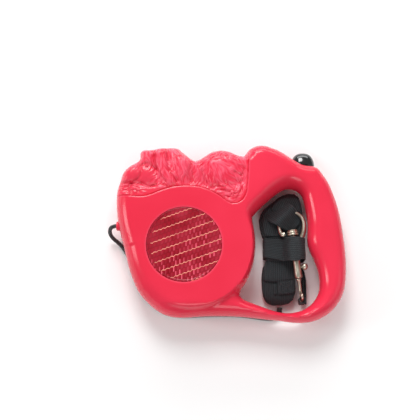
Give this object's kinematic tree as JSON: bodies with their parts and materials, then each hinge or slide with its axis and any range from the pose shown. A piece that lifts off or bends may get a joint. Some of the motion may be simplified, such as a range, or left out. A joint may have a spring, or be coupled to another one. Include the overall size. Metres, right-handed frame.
{
  "type": "retractable dog leash",
  "caption": "Hand-held spring reel in a red closed-handle casing with a dog relief, thumb brake, round reflectors, and a strapped bundle of black webbing with a bolt snap.",
  "frame": {"origin": "middle of the casing's outline, on the surface that the casing lies on with its back down", "axes": "+X from the reel towards the handle, +Y from the leash's bottom edge towards the thumb button, +Z out of the front face"},
  "size_m": [0.1891, 0.1421, 0.036],
  "materials": {
    "casing_red": "glossy moulded plastic",
    "reflector": "clear red prismatic plastic",
    "steel": "bright zinc-plated steel",
    "reel_plastic": "natural acetal",
    "button_black": "glossy black plastic",
    "carrier_black": "satin black plastic",
    "leash_nylon": "braided nylon cord",
    "webbing": "woven nylon webbing",
    "snap_metal": "bright cast zinc"
  },
  "bodies": {
    "casing": {"front_shell": "casing_red", "back_shell": "casing_red", "front_reflector": "reflector", "rear_reflector": "reflector", "leash_nozzle": "casing_red", "case_screw_1": "steel", "case_screw_2": "steel", "case_screw_3": "steel", "case_screw_4": "steel", "case_screw_5": "steel", "case_screw_6": "steel", "reel_axle": "steel", "mainspring": "steel", "lever_pin": "steel", "return_spring": "steel", "leash_run": "leash_nylon", "leash_cord": "leash_nylon", "webbing_hank": "webbing", "wrap_band": "webbing", "snap_body": "snap_metal", "bolt_spring": "steel"},
    "reel": {"reel_drum": "reel_plastic", "ratchet_cap": "reel_plastic", "leash_winding": "leash_nylon"},
    "carrier": {"button_carrier": "carrier_black"},
    "button": {"brake_button": "button_black"},
    "lever": {"brake_lever": "reel_plastic"},
    "bolt": {"snap_bolt": "snap_metal"},
    "swivel": {"swivel_eye": "snap_metal", "strap_loop": "webbing"}
  },
  "joints": [
    {"name": "reel_spin", "type": "hinge", "parent": "casing", "child": "reel", "pos_m": [-0.034, -0.0115, 0.017], "axis": [0, 0, 1], "range_deg": [0, 8280], "stiffness_Nm_per_rad": 0.0005, "springref_deg": -9167.32},
    {"name": "brake_press", "type": "slide", "parent": "casing", "child": "carrier", "axis": [0, -1, 0], "range_m": [0, 0.0054], "stiffness_N_per_m": 700, "springref_m": -0.002},
    {"name": "brake_lock", "type": "slide", "parent": "carrier", "child": "button", "axis": [1, 0, 0], "range_m": [0, 0.003]},
    {"name": "lever_swing", "type": "hinge", "parent": "casing", "child": "lever", "pos_m": [-0.014, 0.0492, 0.0264], "axis": [0, 0, 1], "range_deg": [-4.9, 0]},
    {"name": "bolt_slide", "type": "slide", "parent": "casing", "child": "bolt", "axis": [0.1149, -0.9934, 0], "range_m": [0, 0.0045], "stiffness_N_per_m": 300, "springref_m": -0.004},
    {"name": "snap_swivel", "type": "hinge", "parent": "casing", "child": "swivel", "pos_m": [0.0487, 0.0076, 0.0172], "axis": [-0.1149, 0.9934, 0], "continuous": true}
  ],
  "couplings": [
    {"joint": "lever_swing", "follows": "brake_press", "rad_per_m": -15.648}
  ]
}
